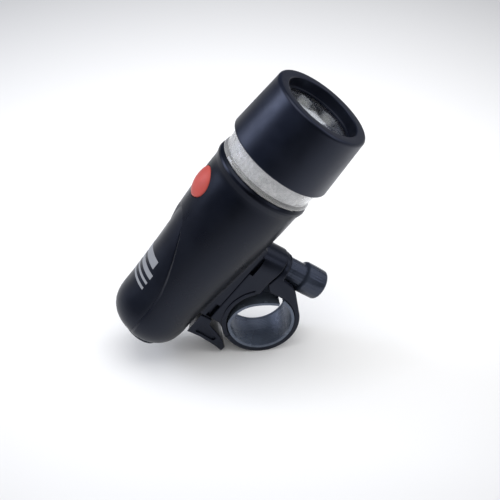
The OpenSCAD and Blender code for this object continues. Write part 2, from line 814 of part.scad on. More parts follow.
module clamp_band() {
    screw_room = screw_r + 0.55;
    below = 20;
    color([0.07, 0.07, 0.08]) in_clamp() difference() {
        union() {
            across(foot_w) ring_part(band_in_r - 1, band_out_r, root_angle + root_face, 340);
            intersection() {
                across(foot_w + 1)
                    polygon(concat([[band_in_r - 0.15, ear_top - 2.25]], slit_line(ear_front, ear_top),
                                   [[ear_front, ear_low], [screw_ahead - 0.9, ear_low], [screw_ahead - 1.6, -0.3],
                                    [band_out_r + 2.45, -3.2], on_circle(band_out_r - 0.05, -42),
                                    on_circle(band_in_r - 1.2, -38), [band_in_r - 1, -0.6],
                                    [band_in_r + 0.05, -0.5]]));
                plan_to(ear_front);
            }
        }
        across(foot_w + 2) circle(band_in_r);
        on_screw(-below) cylinder(r = screw_room, h = 2 * below);
        on_screw(-below) cylinder(r = knob_clear_r, h = ear_low + below);
    }
}

module shim() {
    color([0.1, 0.1, 0.1]) in_clamp() across(foot_w) ring_part(bar_r, bar_r + shim_t, 20, 356);
}

module thumb_knob() {
    neck_low = knob_top_z - knob_neck_len;
    low = neck_low - knob_len;
    stud_low = neck_low - stud_depth;
    flute_r = 0.6;
    flute_out = knob_r + 0.25;
    flute_end = 1;
    color([0.07, 0.07, 0.08]) in_clamp() difference() {
        union() {
            on_screw(neck_low) cylinder(r = knob_neck_r, h = knob_neck_len);
            on_screw(low) cylinder(r = knob_r, h = knob_len);
        }
        for (i = [0:flute_count - 1])
            on_screw(low + flute_end) rotate([0, 0, 360 * i / flute_count]) translate([flute_out, 0, 0])
                cylinder(r = flute_r, h = knob_len - 2 * flute_end);
        on_screw(stud_low) cylinder(r = screw_r + mould_gap, h = knob_top_z - stud_low + 1);
        on_screw(stud_low) hexagon(stud_head_af + 2 * mould_gap, stud_head_t + 2 * mould_gap);
    }
}

module clamp_screw() {
    low = knob_top_z - knob_neck_len - stud_depth;
    color([0.7, 0.71, 0.73]) in_clamp() {
        on_screw(low) cylinder(r = screw_r, h = screw_top - low);
        on_screw(low) hexagon(stud_head_af, stud_head_t);
    }
}

module washer() {
    color([0.7, 0.71, 0.73]) in_clamp() difference() {
        on_screw(washer_top_z - washer_t) cylinder(r = knob_neck_r + 0.6, h = washer_t);
        on_screw(washer_top_z - 5) cylinder(r = screw_r + clear_gap, h = 10);
    }
}

module clamp_nut() {
    color([0.8, 0.65, 0.3]) in_clamp() difference() {
        on_screw(nut_low_z) hexagon(nut_af, nut_t);
        on_screw(nut_low_z - 1) cylinder(r = screw_r + running_gap, h = nut_t + 2);
    }
}

head_cap();
front_lens();
clear_housing();
reflector();
side_reflector();
leds();
led_board();
board_pins();
driver_board();
driver_parts();
front_spring();
o_ring();
barrel();
top_panel();
button();
switch_plunger();
switch();
switch_board();
battery_carrier();
cells();
carrier_contacts();
tail_spring();
contact_strip();
bracket_block();
latch_lever();
clamp_band();
shim();
thumb_knob();
clamp_screw();
washer();
clamp_nut();
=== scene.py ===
"""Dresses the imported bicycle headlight: smooth outer pieces, materials, studio floor, lamps and camera.

Laid out as an add-on and run as a script. Pieces are drawn in millimetres in one of two working frames and
then placed in the row's frame, in metres. Clamp frame: x forward along the torch, z square to it, zero at the
middle of the bore. Torch frame: the same directions, zero on the torch's axis at the head cap's rear rim.
"""
import math

import bmesh
import bpy
from bpy.props import FloatProperty, FloatVectorProperty, IntProperty, PointerProperty
from mathutils import Matrix, Vector


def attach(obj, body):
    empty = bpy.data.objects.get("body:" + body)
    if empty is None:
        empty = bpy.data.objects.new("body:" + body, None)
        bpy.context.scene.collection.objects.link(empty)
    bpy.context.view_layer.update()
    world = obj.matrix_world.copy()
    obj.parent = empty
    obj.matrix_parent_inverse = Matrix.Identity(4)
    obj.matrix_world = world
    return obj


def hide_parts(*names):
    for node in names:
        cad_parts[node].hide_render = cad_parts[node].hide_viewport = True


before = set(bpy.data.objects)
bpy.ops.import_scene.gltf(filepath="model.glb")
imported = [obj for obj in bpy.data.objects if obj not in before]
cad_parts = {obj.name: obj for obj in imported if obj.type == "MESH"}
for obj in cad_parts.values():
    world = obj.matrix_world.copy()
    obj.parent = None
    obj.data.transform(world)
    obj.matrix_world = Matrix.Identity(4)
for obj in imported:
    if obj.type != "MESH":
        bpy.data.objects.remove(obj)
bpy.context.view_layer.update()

bl_info = {
    "name": "Bicycle headlight",
    "version": (1, 0, 0),
    "blender": (4, 5, 0),
    "location": "View3D > Sidebar > Headlight",
    "description": "Builds a bicycle headlight's outer pieces, materials and studio round its packed solids",
    "category": "Object",
}

MM = 0.001
FLOOR_Z = -13.95

# Where the working frames lie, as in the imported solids
PITCH = math.radians(53)
RIM_AHEAD, AXIS_RISE = 55.9, 33.0
SCREW_AHEAD = 19.7
CLAMP = Matrix.Rotation(-PITCH, 4, "Y")
TORCH = CLAMP @ Matrix.Translation((RIM_AHEAD, 0, AXIS_RISE))
SCREW = CLAMP @ Matrix.Translation((SCREW_AHEAD, 0, 0)) @ Matrix.Rotation(math.radians(90), 4, "Y")

# Half width of the foot, the bracket block and the clamp band, which are flush with each other
HALF_WIDTH = 7.55

# The barrel's form, shared by the barrel, its inlay and the button
FRONT_R, REAR_R = 17.3, 14.05
TAPER_START, TAPER_END = -13.95, -71.0
TAIL_START, TAIL_LEN, TAIL_POWER = -72.0, 13.0, 2.8
BOSS_R, BOSS_DROP, BOSS_ROOT, BOSS_END = 7.0, 2.5, -81.0, -85.9
FOOT_REAR, FOOT_FRONT, FOOT_DROP = -8.1 - RIM_AHEAD, 26 - RIM_AHEAD, 16.3
PANEL_BACK, PANEL_LEN, PANEL_ANGLE = -69.0, 35.0, math.radians(62)
BUTTON_AT, BUTTON_R, BUTTON_HOLE_R = -22.0, 5.75, 6.0


# Small tools for outlines and meshes

def on_circle(radius, degrees):
    """Point of a circle round the bore's middle."""
    a = math.radians(degrees)
    return radius * math.cos(a), radius * math.sin(a)


def arc(radius, start, stop, count):
    """Corners along an arc round the bore's middle, in degrees, none of them rounded."""
    return [(*on_circle(radius, start + (stop - start) * i / count), 0) for i in range(count + 1)]


def rounded(corners, closed=True, step=10):
    """Outline through corners (x, y, radius), each rounded to its radius in steps of so many degrees."""
    out = []
    last = len(corners) - 1
    for i, (x, y, radius) in enumerate(corners):
        here = Vector((x, y))
        if radius <= 0 or (not closed and i in (0, last)):
            out.append(here)
            continue
        back = Vector(corners[i - 1][:2]) - here
        ahead = Vector(corners[(i + 1) % len(corners)][:2]) - here
        room = 0.49 * min(back.length, ahead.length)
        back.normalize()
        ahead.normalize()
        half = back.angle(ahead) / 2
        reach = min(radius / math.tan(half), room)
        radius = reach * math.tan(half)
        centre = here + (back + ahead).normalized() * (radius / math.sin(half))
        first = here + back * reach - centre
        final = here + ahead * reach - centre
        a = math.atan2(first.y, first.x)
        turn = (math.atan2(final.y, final.x) - a + math.pi) % (2 * math.pi) - math.pi
        count = max(1, math.ceil(abs(turn) / math.radians(step)))
        for k in range(count + 1):
            b = a + turn * k / count
            out.append(centre + radius * Vector((math.cos(b), math.sin(b))))
    return out


def inset(outline, depth):
    """A counter-clockwise outline drawn in by a depth, along the mitre of each corner."""
    out = []
    for i, here in enumerate(outline):
        a = (here - outline[i - 1]).normalized()
        b = (outline[(i + 1) % len(outline)] - here).normalized()
        na, nb = Vector((-a.y, a.x)), Vector((-b.y, b.x))
        mitre = (na + nb) / max(1 + na.dot(nb), 0.4)
        out.append(here + mitre * depth)
    return out


def bridge(bm, rings, closed=False):
    """Faces between neighbouring rings of vertices; a ring of one vertex is a pole."""
    pairs = list(zip(rings, rings[1:])) + ([(rings[-1], rings[0])] if closed else [])
    for low, high in pairs:
        count = max(len(low), len(high))
        for k in range(count):
            n = (k + 1) % count
            corners = [low[k % len(low)], low[n % len(low)], high[n % len(high)], high[k % len(high)]]
            face = list(dict.fromkeys(corners))
            if len(face) > 2:
                bm.faces.new(face)


def lathe(bm, profile, sides=128, closed=False, shape=None):
    """Turns a profile of (x, radius) round the x axis; shape(x, radius, angle) may change a radius."""
    rings = []
    for x, radius in profile:
        if radius < 1e-6:
            rings.append([bm.verts.new((x, 0, 0))])
            continue
        ring = []
        for k in range(sides):
            a = 2 * math.pi * k / sides
            r = shape(x, radius, a) if shape else radius
            ring.append(bm.verts.new((x, r * math.sin(a), r * math.cos(a))))
        rings.append(ring)
    bridge(bm, rings, closed)


def slab(bm, outline, half, soft, across=1, warp=None):
    """Extrudes a side view across to both sides, with its rims rounded; warp(x, y, z) may move each point."""
    steps = 4
    turns = [math.pi / 2 * k / steps for k in range(steps + 1)]
    rim = [(-half + soft * (1 - math.cos(a)), soft * (1 - math.sin(a))) for a in turns]
    flat = half - soft
    middle = [(-flat + 2 * flat * k / across, 0) for k in range(1, across)]
    rings = []
    for y, depth in rim + middle + [(-y, depth) for y, depth in reversed(rim)]:
        points = [(p.x, y, p.y) for p in inset(outline, depth)]
        rings.append([bm.verts.new(warp(*p) if warp else p) for p in points])
    bridge(bm, rings)
    bm.faces.new(rings[0])
    bm.faces.new(rings[-1])


def bar(bm, section, x1, x2):
    """Extrudes a cross-section of (y, z) points along x."""
    ends = [[bm.verts.new((x, y, z)) for y, z in section] for x in (x1, x2)]
    bridge(bm, ends)
    bm.faces.new(ends[0])
    bm.faces.new(ends[1])


def brick(low, high):
    """Closed box from one corner to the other, for cutting."""
    bm = bmesh.new()
    bar(bm, [(low[1], low[2]), (high[1], low[2]), (high[1], high[2]), (low[1], high[2])], low[0], high[0])
    return bm


def drum(x, y, radius, low, high, sides=96):
    """Closed upright cylinder, for cutting."""
    bm = bmesh.new()
    turns = [2 * math.pi * k / sides for k in range(sides)]
    rings = [[bm.verts.new((x + radius * math.cos(a), y + radius * math.sin(a), z)) for a in turns]
             for z in (low, high)]
    bridge(bm, rings)
    bm.faces.new(rings[0])
    bm.faces.new(rings[1])
    return bm


def tidy(bm):
    """Joins doubled points and turns every face outward."""
    bmesh.ops.remove_doubles(bm, verts=bm.verts, dist=1e-4)
    bmesh.ops.recalc_face_normals(bm, faces=bm.faces)


def carve(bm, tools, operation="DIFFERENCE"):
    """The mesh with each tool mesh cut out of it, or joined to it."""
    made = []
    for shape in [bm, *tools]:
        tidy(shape)
        mesh = bpy.data.meshes.new("carving")
        shape.to_mesh(mesh)
        shape.free()
        obj = bpy.data.objects.new("carving", mesh)
        bpy.context.scene.collection.objects.link(obj)
        made.append(obj)
    for tool in made[1:]:
        step = made[0].modifiers.new("carve", "BOOLEAN")
        step.operation = operation
        step.solver = "EXACT"
        step.object = tool
    shown = made[0].evaluated_get(bpy.context.evaluated_depsgraph_get())
    out = bmesh.new()
    out.from_mesh(shown.to_mesh())
    shown.to_mesh_clear()
    for obj in made:
        mesh = obj.data
        bpy.data.objects.remove(obj)
        bpy.data.meshes.remove(mesh)
    if not out.faces:
        raise RuntimeError("a cut left nothing of its piece")
    return out


def piece(name, bm, place, body, material, nodes=(), sharp=32):
    """Places a mesh, shades it, gives it its material and ties it to the frame."""
    tidy(bm)
    bm.transform(Matrix.Scale(MM, 4) @ place)
    limit = math.radians(sharp)
    for face in bm.faces:
        face.smooth = True
    for edge in bm.edges:
        edge.smooth = len(edge.link_faces) == 2 and edge.calc_face_angle(math.pi) < limit
    mesh = bpy.data.meshes.new(name)
    bm.to_mesh(mesh)
    bm.free()
    obj = bpy.data.objects.new(name, mesh)
    bpy.context.scene.collection.objects.link(obj)
    mesh.materials.append(material)
    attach(obj, body)
    if nodes:
        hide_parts(*nodes)
    return obj


# Materials

def linear(code):
    """An sRGB hex colour as linear red, green, blue and alpha."""
    values = [int(code[i:i + 2], 16) / 255 for i in (1, 3, 5)]
    return [v / 12.92 if v <= 0.04045 else ((v + 0.055) / 1.055) ** 2.4 for v in values] + [1.0]


def feed(tree, node, sockets):
    """Fills a node's inputs with plain values, or links from other nodes' outputs."""
    for key, value in sockets.items():
        if isinstance(value, bpy.types.NodeSocket):
            tree.links.new(value, node.inputs[key])
        else:
            node.inputs[key].default_value = value


def add(tree, kind, sockets=None, stops=(), **settings):
    """Adds a node with its settings, inputs and, for a colour ramp, its stops as (position, colour)."""
    made = tree.nodes.new(kind)
    for key, value in settings.items():
        setattr(made, key, value)
    feed(tree, made, sockets or {})
    for number, (position, colour) in enumerate(stops):
        made.color_ramp.elements[number].position = position
        made.color_ramp.elements[number].color = colour
    return made


def blank(name):
    """A new material with only its shader and output, and where its patterns are measured from."""
    material = bpy.data.materials.new(name)
    material.use_nodes = True
    tree = material.node_tree
    tree.nodes.clear()
    shader = add(tree, "ShaderNodeBsdfPrincipled")
    add(tree, "ShaderNodeOutputMaterial", {"Surface": shader.outputs[0]})
    place = add(tree, "ShaderNodeTexCoord").outputs["Object"]
    return material, tree, shader, place


def per_metre(millimetres):
    """Texture scale that gives a pattern of that size."""
    return 1000 / millimetres


def moulded(name, dark, light, rough, grit, depth, cloud=9.0, shine=0.4):
    """Moulded plastic, rubber or a dark coat: a faint cloud of tone, uneven gloss and a fine grit."""
    material, tree, shader, place = blank(name)
    uneven = 0.07
    drift = add(tree, "ShaderNodeTexNoise",
                {"Vector": place, "Scale": per_metre(cloud), "Detail": 3.0, "Roughness": 0.55}).outputs["Fac"]
    tone = add(tree, "ShaderNodeValToRGB", {"Fac": drift}, [(0.35, linear(dark)), (0.7, linear(light))])
    grain = add(tree, "ShaderNodeTexNoise",
                {"Vector": place, "Scale": per_metre(grit), "Detail": 2.0, "Roughness": 0.6}).outputs["Fac"]
    gloss = add(tree, "ShaderNodeMapRange", {"Value": drift, "From Min": 0.3, "From Max": 0.75,
                                            "To Min": rough - uneven, "To Max": rough + uneven})
    bump = add(tree, "ShaderNodeBump", {"Height": grain, "Strength": 1.0, "Distance": depth * MM})
    feed(tree, shader, {
        "Base Color": tone.outputs["Color"], "Roughness": gloss.outputs["Result"],
        "Normal": bump.outputs["Normal"], "IOR": 1.53, "Specular IOR Level": shine,
        "Specular Tint": linear("#D6E0FF")})  # the sheen on dark plastic looks slightly cool
    return material


def plated(name, dark, light, rough, streak, metal=1.0):
    """Metal, plated or drawn: streaks of tone and gloss a set width apart."""
    material, tree, shader, place = blank(name)
    uneven = 0.06
    stretch = add(tree, "ShaderNodeMapping", {"Vector": place, "Scale": (1.0, 1.0, 0.25)}).outputs["Vector"]
    drift = add(tree, "ShaderNodeTexNoise",
                {"Vector": stretch, "Scale": per_metre(streak), "Detail": 3.0}).outputs["Fac"]
    tone = add(tree, "ShaderNodeValToRGB", {"Fac": drift}, [(0.3, linear(dark)), (0.7, linear(light))])
    gloss = add(tree, "ShaderNodeMapRange", {"Value": drift, "From Min": 0.25, "From Max": 0.75,
                                            "To Min": rough - uneven, "To Max": rough + uneven})
    feed(tree, shader, {
        "Base Color": tone.outputs["Color"], "Roughness": gloss.outputs["Result"], "Metallic": metal})
    return material


def clear(name, tint, rough, ior, ripple, through=1.0, wave=0.05):
    """Clear moulded plastic: see-through, with the faint ripple that flow leaves in its faces."""
    material, tree, shader, place = blank(name)
    flow = add(tree, "ShaderNodeTexNoise",
               {"Vector": place, "Scale": per_metre(ripple), "Detail": 1.0}).outputs["Fac"]
    bump = add(tree, "ShaderNodeBump", {"Height": flow, "Strength": 0.5, "Distance": wave * MM})
    gloss = add(tree, "ShaderNodeMapRange", {"Value": flow, "From Min": 0.3, "From Max": 0.7,
                                            "To Min": rough * 0.5, "To Max": rough * 1.5})
    feed(tree, shader, {
        "Base Color": linear(tint), "Roughness": gloss.outputs["Result"], "Normal": bump.outputs["Normal"],
        "IOR": ior, "Transmission Weight": through})
    return material


MADE = {}


def finish(key):
    """The named finish, made once."""
    if key in MADE:
        return MADE[key]
    recipes = {
        # ABS from a spark-eroded tool: satin, with grit of about 0.1 mm drawn at 0.3 mm so that it shows
        "cap": lambda: moulded("ABS, satin moulded, cap", "#0B0E17", "#10141F", 0.38, 0.3, 0.006, shine=0.5),
        "barrel": lambda: moulded("ABS, satin moulded, barrel", "#07090F", "#0A0D15", 0.33, 0.3, 0.004,
                                  shine=0.3),
        "panel": lambda: moulded("ABS, satin moulded, inlay", "#080A11", "#0B0F18", 0.36, 0.3, 0.005,
                                 shine=0.3),
        # Pad-printed ink: thin, even, pale grey and nearly matt
        "print": lambda: moulded("Ink, pad printed", "#8A8C90", "#94969A", 0.55, 0.5, 0.002),
        # Glass-filled nylon: a little glossier, with a coarser flow pattern
        "bracket": lambda: moulded("Nylon, moulded", "#080A11", "#0D111A", 0.34, 0.5, 0.008, shine=0.3),
        "knob": lambda: moulded("Nylon, polished tool", "#262B35", "#333945", 0.3, 0.6, 0.004, shine=0.45),
        # Rubber: the strip comes smooth from its die; its grey is painted light, lighter than the rubber is,
        # standing in for the light and reflections on it inside the bore, with a random cloud of paler tone;
        # the seal is dull
        "shim": lambda: moulded("Rubber, extruded, painted lighter", "#434A53", "#525A65", 0.28, 0.4, 0.004, shine=0.9),
        "seal": lambda: moulded("Rubber, moulded seal", "#161616", "#202020", 0.5, 0.4, 0.008),
        # Silicone: soft satin red, paler where the light falls through its edge
        "button": lambda: silicone("Silicone, moulded red"),
        # Polycarbonate: clear, with the flow ripple of a thick moulding
        "lens": lambda: clear("Polycarbonate, clear lens", "#F4F6F8", 0.03, 1.585, 6.0),
        "ring": lambda: clear("Polycarbonate, clear ring", "#FFFFFF", 0.05, 1.585, 1.8, 0.8, 0.16),
        # Epoxy: cast in one drop, nearly clear with a milky glow
        "led": lambda: clear("Epoxy, cast dome", "#FFFEF6", 0.05, 1.53, 2.0, 0.5),
        # ABS metallised in vacuum: bright, with a soft haze
        "chrome": lambda: plated("ABS, vacuum metallised", "#E4E6EA", "#F8F8F9", 0.1, 3.0, metal=0.92),
        # Side reflector, metallised ABS: drawn as white satin plastic, a painted reflection, with a fine
        # cloud of grey and white specks as painted sparkle
        "sleeve": lambda: moulded("ABS, metallised, painted white reflection", "#C8CACC", "#FFFFFF", 0.2, 0.8, 0.05, cloud=1.6,
                                  shine=0.8),
        # Steel under a black oxide skin: as dark as the nylon beside it, with the same satin sheen
        "washer": lambda: moulded("Steel, black oxide", "#080A11", "#0D111A", 0.34, 0.5, 0.008, shine=0.3),
        # Plated, stamped or drawn metal: streaks along the way it was worked
        "steel": lambda: plated("Steel, nickel plated", "#8F9296", "#B9BCC0", 0.3, 0.8),
        "brass": lambda: plated("Brass, stamped", "#A88748", "#CBAA66", 0.32, 0.8),
        "cell": lambda: plated("Steel can, drawn", "#6F757C", "#9AA0A6", 0.35, 2.0),
        # Glass-fibre board under solder resist, and plain inner mouldings
        "board": lambda: moulded("Glass-fibre board, solder resist", "#0F3A22", "#1A5232", 0.4, 0.5, 0.01),
        "inner": lambda: moulded("ABS, as moulded, inside", "#1B1B1D", "#252528", 0.5, 0.5, 0.01),
    }
    MADE[key] = recipes[key]()
    return MADE[key]


def silicone(name):
    """Moulded silicone: even red with a faint cloud, soft sheen and a little light let through."""
    red = bpy.context.scene.headlight_colours.button[:3]
    material, tree, shader, place = blank(name)
    drift = add(tree, "ShaderNodeTexNoise", {"Vector": place, "Scale": per_metre(4.0), "Detail": 2.0})
    tone = add(tree, "ShaderNodeValToRGB", {"Fac": drift.outputs["Fac"]},
               [(0.3, [*[c * 0.88 for c in red], 1.0]), (0.7, [*red, 1.0])])
    grain = add(tree, "ShaderNodeTexNoise", {"Vector": place, "Scale": per_metre(0.35), "Detail": 1.0})
    bump = add(tree, "ShaderNodeBump",
               {"Height": grain.outputs["Fac"], "Strength": 1.0, "Distance": 0.006 * MM})
    feed(tree, shader, {
        "Base Color": tone.outputs["Color"], "Normal": bump.outputs["Normal"], "Roughness": 0.48, "IOR": 1.41,
        "Subsurface Weight": 0.15, "Subsurface Radius": (0.0015, 0.0004, 0.0003), "Subsurface Scale": 1.0})
    return material


def dress(names, key):
    """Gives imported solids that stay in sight, or inside, their finish."""
    for name in names:
        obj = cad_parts[name]
        obj.data.materials.clear()
        obj.data.materials.append(finish(key))


# Forms that several pieces share

def barrel_radius(x):
    """Radius of the bare barrel at a place along it, between lip and tail."""
    if x < TAIL_START:
        t = min((TAIL_START - x) / TAIL_LEN, 1.0)
        return REAR_R * (1 - t ** TAIL_POWER) ** (1 / TAIL_POWER)
    t = min(max((TAPER_START - x) / (TAPER_START - TAPER_END), 0.0), 1.0)
    return FRONT_R + (REAR_R - FRONT_R) * (3 * t * t - 2 * t ** 3)


def foot_radius(x, radius, angle):
    """Radius with the moulded foot, whose flanks run out into the barrel in a small hollow."""
    if not FOOT_REAR <= x <= FOOT_FRONT:
        return radius
    from_below = abs(math.pi - angle)
    corner = math.atan2(HALF_WIDTH, FOOT_DROP)
    if from_below >= math.radians(60):
        return radius
    if from_below <= corner:
        return max(radius, FOOT_DROP / math.cos(from_below))
    flank = HALF_WIDTH / math.sin(from_below)
    blend = 1.2
    near = max(blend - abs(flank - radius), 0) / blend
    return max(flank, radius) + near * near * blend / 4


def slit_line(front, top):
    """Points along the slit between block and ear, from the ring to a front end."""
    start, fall, steps = 14.45, 1.9, 12
    return [(start + (front - start) * k / steps, top - fall * (k / steps) ** 1.4) for k in range(steps + 1)]


def nose(bm, front):
    """Narrows block or ear towards its front end, so that it is round seen along the screw."""
    reach, flat, cuts = 7.0, 0.55, 14
    for k in range(cuts):
        x = front - reach * (1 - math.sin(math.pi / 2 * k / cuts))
        geometry = bm.verts[:] + bm.edges[:] + bm.faces[:]
        bmesh.ops.bisect_plane(bm, geom=geometry, plane_co=(x, 0, 0), plane_no=(1, 0, 0))
    for vert in bm.verts:
        ahead = min(max(vert.co.x - (front - reach), 0.0), reach)
        vert.co.y *= (flat + math.sqrt(reach * reach - ahead * ahead)) / HALF_WIDTH


def panel_half_angle(x):
    """Half angle that the inlay spans at a place along the barrel."""
    if x <= PANEL_BACK:
        return PANEL_ANGLE
    t = min((x - PANEL_BACK) / PANEL_LEN, 1.0)
    half = (REAR_R + 0.1) * math.sin(PANEL_ANGLE) * math.sqrt(1 - t * t)
    return math.asin(min(half / barrel_radius(x), 1.0))


def panel_step(x):
    """Depth of the inlay below the barrel's skin: deepest at its front tip."""
    rear_depth, added_at_tip = 0.52, 0.45
    t = min(max((x - PANEL_BACK) / PANEL_LEN, 0.0), 1.0)
    return rear_depth + added_at_tip * t ** 3


def panel_rows():
    """Places along the inlay, from its tip back to the tail boss."""
    turns = (0.8, 2, 3.5, 5.5, 8, 11, 15, 20, 26, 33, 41, 50, 60, 70, 80)
    front = [PANEL_BACK + PANEL_LEN * math.cos(math.radians(a)) for a in turns]
    rear = [PANEL_BACK, -71.5, -73.5, -75.5, -77.5, -79.3, -80.8, -82, -83, -83.8, -84.4]
    return front + rear


def panel_solid(edges):
    """Closed patch over the inlay's outline. edges are (widening, height above the inlay's face) from its
    under edge up to its top edge, then the top and the under side are closed across."""
    bm = bmesh.new()
    across = 24
    grid = []
    for x in panel_rows():
        radius = barrel_radius(x) - panel_step(x)
        half = panel_half_angle(x)
        loop = [(half + widen / radius, radius + rise) for widen, rise in edges]
        top_half, top_r = loop[-1]
        low_half, low_r = loop[0]
        section = [(-a, r) for a, r in loop]
        section += [(-top_half + 2 * top_half * k / across, top_r) for k in range(1, across)]
        section += [(a, r) for a, r in reversed(loop)]
        section += [(low_half - 2 * low_half * k / across, low_r) for k in range(1, across)]
        grid.append([bm.verts.new((x, r * math.sin(a), r * math.cos(a))) for a, r in section])
    bridge(bm, grid)
    bm.faces.new(grid[0])
    bm.faces.new(grid[-1])
    return bm


# Settings

class HeadlightSizes(bpy.types.PropertyGroup):
    """Sizes that a user would change."""

    cap_length: FloatProperty(
        name="Cap length", description="Length of the head cap", subtype="DISTANCE", unit="LENGTH",
        precision=4, default=0.0233, min=0.020, max=0.028)
    cap_rear: FloatProperty(
        name="Cap rear radius", description="Radius at the cap's rear rim", subtype="DISTANCE", unit="LENGTH",
        precision=4, default=0.0194, min=0.0188, max=0.021)
    cap_front: FloatProperty(
        name="Cap front radius", description="Radius where the cap's front rounding starts",
        subtype="DISTANCE", unit="LENGTH", precision=4, default=0.0181, min=0.0179, max=0.0195)
    cap_round: FloatProperty(
        name="Cap rounding", description="Rounding of the cap's front edge", subtype="DISTANCE",
        unit="LENGTH", precision=4, default=0.0022, min=0.001, max=0.003)
    button_rise: FloatProperty(
        name="Button rise", description="Height of the button's crown above the barrel", subtype="DISTANCE",
        unit="LENGTH", precision=5, default=0.00145, min=0.0005, max=0.0025)
    sleeve_flutes: IntProperty(
        name="Sleeve flutes", description="Flutes round the side reflector", default=56, min=24, max=180)
    knob_flutes: IntProperty(
        name="Knob flutes", description="Flutes round the thumb knob", default=18, min=8, max=32)
    shim_ribs: IntProperty(
        name="Shim ribs", description="Ribs across the width of the rubber shim", default=16, min=6, max=30)


class HeadlightColours(bpy.types.PropertyGroup):
    """Colours that a user would change."""

    button: FloatVectorProperty(
        name="Button", description="Colour of the push button", subtype="COLOR", size=4, min=0, max=1,
        default=linear("#C4524A"))
    floor: FloatVectorProperty(
        name="Floor", description="Colour of the studio floor", subtype="COLOR", size=4, min=0, max=1,
        default=linear("#FAFAFA"))


# Operators

class HEADLIGHT_OT_head_cap(bpy.types.Operator):
    """Builds the head cap with its rounded front edge and stepped opening"""

    bl_idname = "headlight.head_cap"
    bl_label = "Head cap"

    def execute(self, context):
        sizes = context.scene.headlight_sizes
        given = (sizes.cap_length, sizes.cap_rear, sizes.cap_front, sizes.cap_round)
        length, rear, front, edge = (round(size / MM, 4) for size in given)
        bm = bmesh.new()
        profile = rounded([
            (0, 17.0, 0.2), (0, rear, 0.7), (length - edge, front + 0.02, 6.0), (length, front - 0.02, edge),
            (length, 14.0, 0.45), (length - 3.8, 13.9, 0.25), (length - 3.8, 13.0, 0.2),
            (length - 4.4, 12.95, 0), (length - 4.4, 17.0, 0)], step=9)
        lathe(bm, profile, 144, closed=True)
        piece("head_cap_shell", bm, TORCH, "head", finish("cap"), ["head_cap"])
        return {"FINISHED"}


class HEADLIGHT_OT_light_unit(bpy.types.Operator):
    """Builds the lens, the clear ring, the cup reflector and the fluted sleeve behind the ring"""

    bl_idname = "headlight.light_unit"
    bl_label = "Light unit"

    def execute(self, context):
        bm = bmesh.new()
        lens = rounded([(17.3, 0, 0), (17.3, 16.7, 0.3), (18.85, 16.7, 0.3), (18.85, 0, 0)], closed=False)
        lathe(bm, lens, 128)
        piece("front_lens_disc", bm, TORCH, "head", finish("lens"), ["front_lens"])

        bm = bmesh.new()
        ring = rounded([
            (-14.8, 13.4, 0.2), (-14.8, 15.0, 0.3), (-10.6, 15.0, 0), (-10.6, 14.15, 0), (-9.3, 14.15, 0),
            (-9.3, 15.0, 0), (-8.2, 15.0, 0), (-8.2, 17.2, 0.25), (-7.7, 17.75, 0.3), (-6.9, 17.5, 0.3),
            (-6.3, 17.05, 0.5), (0, 17.7, 0.1), (0, 16.8, 0), (17.3, 16.8, 0), (17.3, 15.6, 0),
            (-7.0, 15.6, 0.2), (-7.0, 12.4, 0), (-8.2, 12.4, 0), (-8.2, 13.4, 0)])
        lathe(bm, ring, 144, closed=True)
        piece("clear_ring", bm, TORCH, "head", finish("ring"), ["clear_housing"])

        flutes = context.scene.headlight_sizes.sleeve_flutes
        rear, length, outer, inner = -6.95, 12.4, 15.35, 14.7

        def fluted(x, radius, a):
            """Flutes along the outside, with a slight wave from end to end."""
            if radius < outer:
                return radius
            return radius - 0.32 * abs(math.sin(flutes * a / 2)) - 0.05 * math.sin(2.1 * x)

        bm = bmesh.new()
        rows = [(rear + length * k / 24, outer) for k in range(25)]
        lathe(bm, rows + [(rear + length, inner), (rear, inner)], flutes * 6, closed=True, shape=fluted)
        piece("fluted_sleeve", bm, TORCH, "head", finish("sleeve"), ["side_reflector"],
              sharp=60)

        piece("cup_reflector", self.cups(), TORCH, "head", finish("chrome"),
              ["reflector"])
        dress(["leds"], "led")
        return {"FINISHED"}

    @staticmethod
    def cups():
        """Front plate with five bell-shaped cups round its middle, and a skirt, all of one thickness."""
        bm = bmesh.new()
        front, back, floor = 17.25, 7.2, 9.2
        mouth, throat, ring_r, sides = 4.4, 2.75, 7.9, 48

        def circle(x, y, z, radius, count):
            turns = [2 * math.pi * k / count for k in range(count)]
            return [bm.verts.new((x, y + radius * math.sin(a), z + radius * math.cos(a))) for a in turns]

        rim = circle(front, 0, 0, 15.4, 120)
        bridge(bm, [rim, circle(back, 0, 0, 15.4, 120)])
        edges = [bm.edges.get((rim[k], rim[k - 1])) for k in range(len(rim))]
        for i in range(5):
            a = 2 * math.pi * i / 5
            y, z = -ring_r * math.sin(a), ring_r * math.cos(a)
            depths = [1 - (k / 12) ** 2 for k in range(13)]
            bell = [(floor + (front - floor) * d, throat + (mouth - throat) * math.sqrt(d)) for d in depths]
            rings = [circle(x, y, z, radius, sides) for x, radius in bell]
            bridge(bm, rings)
            edges += [bm.edges.get((rings[0][k], rings[0][k - 1])) for k in range(sides)]
        bmesh.ops.triangle_fill(bm, use_beauty=True, use_dissolve=False, edges=edges, normal=(1, 0, 0))
        bmesh.ops.recalc_face_normals(bm, faces=bm.faces)
        bmesh.ops.solidify(bm, geom=bm.faces[:], thickness=0.25)
        return bm


